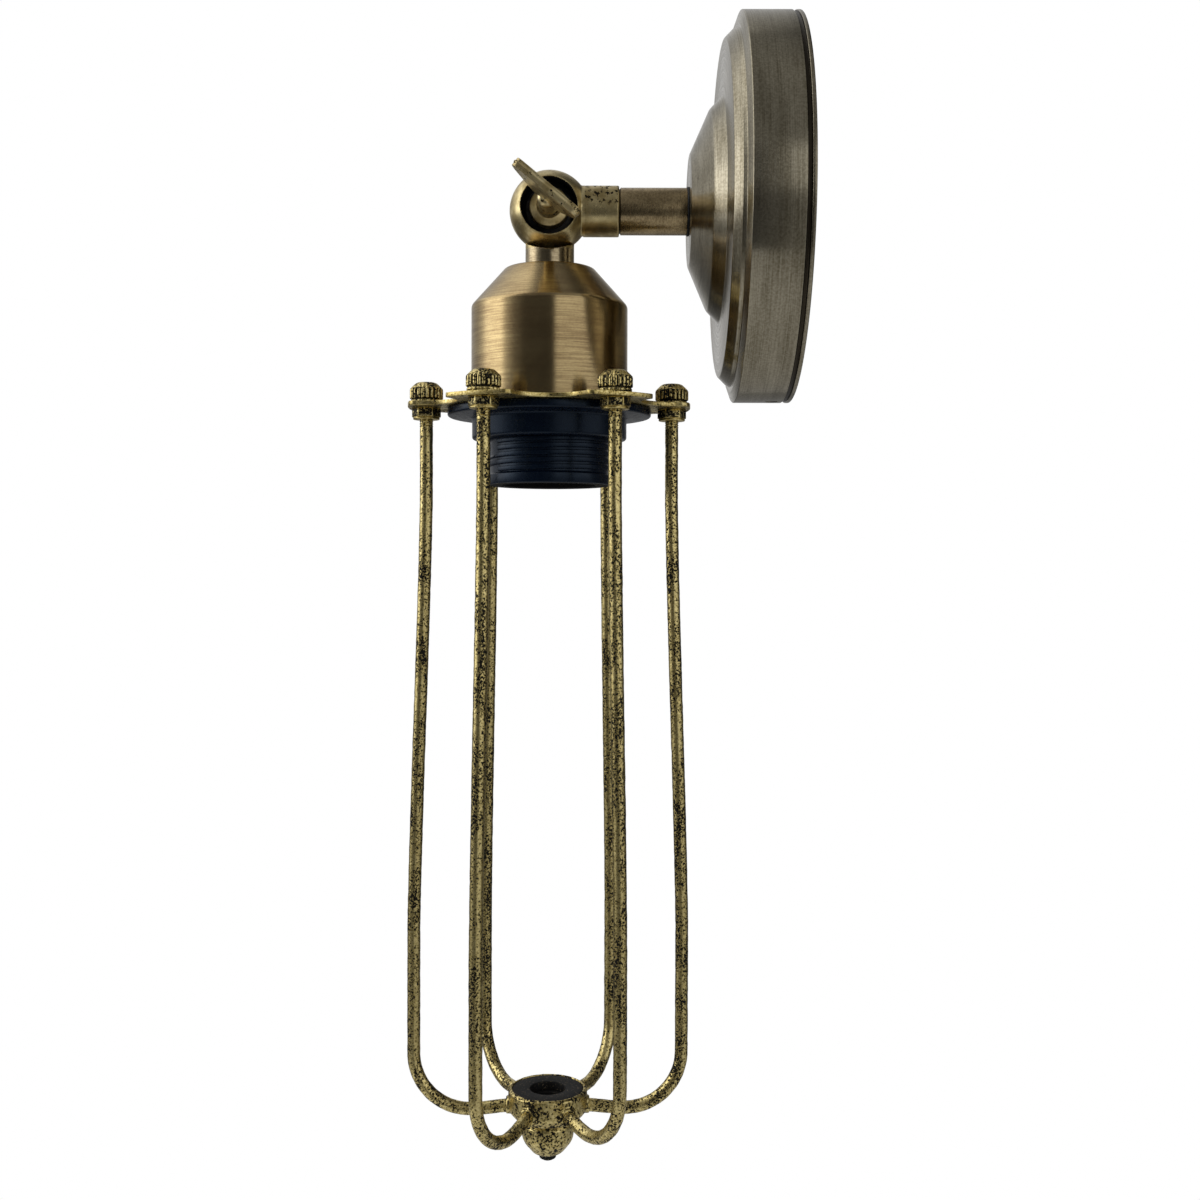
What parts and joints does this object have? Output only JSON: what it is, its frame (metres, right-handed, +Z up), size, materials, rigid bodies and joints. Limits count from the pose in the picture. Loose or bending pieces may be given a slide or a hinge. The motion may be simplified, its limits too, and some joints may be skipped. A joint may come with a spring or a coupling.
{
  "type": "cage wall light",
  "caption": "Wall light with a round spun canopy, short arm, split-ball tilting knuckle with wing screw, cup, screw lampholder and an open wire cage round the bulb.",
  "frame": {"origin": "centre of the canopy on the wall face", "axes": "-Y out of the wall along the arm, +Z up, +X on the wing screw's side, along the knuckle's pivot"},
  "size_m": [0.12, 0.1213, 0.3622],
  "materials": {
    "antique_brass": "fine brushed, browned, lacquered",
    "cast_brass": "satin cast brass with small pits",
    "patina_brass": "blackened with gold rubbed through",
    "dark_plastic": "semi-gloss moulded",
    "black_trim": "matt black",
    "insulator": "plain",
    "bare_brass": "plain",
    "zinc_steel": "zinc plated"
  },
  "bodies": {
    "wall_side": {"wall_bracket": "zinc_steel", "canopy_screws": "zinc_steel", "earth_screw": "bare_brass", "terminal_block": "insulator", "terminal_screws": "bare_brass", "canopy": "antique_brass", "arm_rod": "zinc_steel", "rod_washer": "zinc_steel", "rod_nut": "zinc_steel", "tube_ring": "black_trim", "arm_tube": "antique_brass", "fixed_knuckle": "cast_brass", "spring_washer": "zinc_steel"},
    "wing_screw": {"wing_screw": "cast_brass"},
    "shade_ring": {"shade_ring": "dark_plastic"},
    "thumb_nut_1": {"thumb_nut_1": "patina_brass"},
    "thumb_nut_2": {"thumb_nut_2": "patina_brass"},
    "thumb_nut_3": {"thumb_nut_3": "patina_brass"},
    "thumb_nut_4": {"thumb_nut_4": "patina_brass"},
    "thumb_nut_5": {"thumb_nut_5": "patina_brass"},
    "thumb_nut_6": {"thumb_nut_6": "patina_brass"},
    "lamp_head": {"swivel_knuckle": "cast_brass", "cup": "antique_brass", "nipple": "zinc_steel", "nipple_nut": "zinc_steel", "holder_cap": "dark_plastic", "holder_skirt": "dark_plastic", "contact_core": "insulator", "screw_shell": "bare_brass", "centre_contact": "bare_brass", "contact_screws": "bare_brass", "cage_plate": "patina_brass", "hex_nuts": "patina_brass", "cage_wire_1": "patina_brass", "cage_wire_2": "patina_brass", "cage_wire_3": "patina_brass", "cage_wire_4": "patina_brass", "cage_wire_5": "patina_brass", "cage_wire_6": "patina_brass", "hub": "patina_brass", "hub_insert": "black_trim", "finial": "patina_brass", "finial_tip": "black_trim"}
  },
  "joints": [
    {"name": "head_tilt", "type": "hinge", "parent": "wall_side", "child": "lamp_head", "pos_m": [0, -0.0765, 0], "axis": [-1, 0, 0], "range_deg": [-5, 185]},
    {"name": "wing_screw_turn", "type": "hinge", "parent": "lamp_head", "child": "wing_screw", "pos_m": [0, -0.0765, 0], "axis": [1, 0, 0], "continuous": true},
    {"name": "shade_ring_turn", "type": "hinge", "parent": "lamp_head", "child": "shade_ring", "pos_m": [0, -0.0765, -0.065], "axis": [0, 0, 1], "continuous": true},
    {"name": "thumb_nut_1_turn", "type": "hinge", "parent": "lamp_head", "child": "thumb_nut_1", "pos_m": [0.00136, -0.11538, -0.058], "axis": [0, 0, 1], "continuous": true},
    {"name": "thumb_nut_2_turn", "type": "hinge", "parent": "lamp_head", "child": "thumb_nut_2", "pos_m": [-0.03299, -0.09711, -0.058], "axis": [0, 0, 1], "continuous": true},
    {"name": "thumb_nut_3_turn", "type": "hinge", "parent": "lamp_head", "child": "thumb_nut_3", "pos_m": [-0.03435, -0.05824, -0.058], "axis": [0, 0, 1], "continuous": true},
    {"name": "thumb_nut_4_turn", "type": "hinge", "parent": "lamp_head", "child": "thumb_nut_4", "pos_m": [-0.00136, -0.03762, -0.058], "axis": [0, 0, 1], "continuous": true},
    {"name": "thumb_nut_5_turn", "type": "hinge", "parent": "lamp_head", "child": "thumb_nut_5", "pos_m": [0.03299, -0.05589, -0.058], "axis": [0, 0, 1], "continuous": true},
    {"name": "thumb_nut_6_turn", "type": "hinge", "parent": "lamp_head", "child": "thumb_nut_6", "pos_m": [0.03435, -0.09476, -0.058], "axis": [0, 0, 1], "continuous": true}
  ]
}
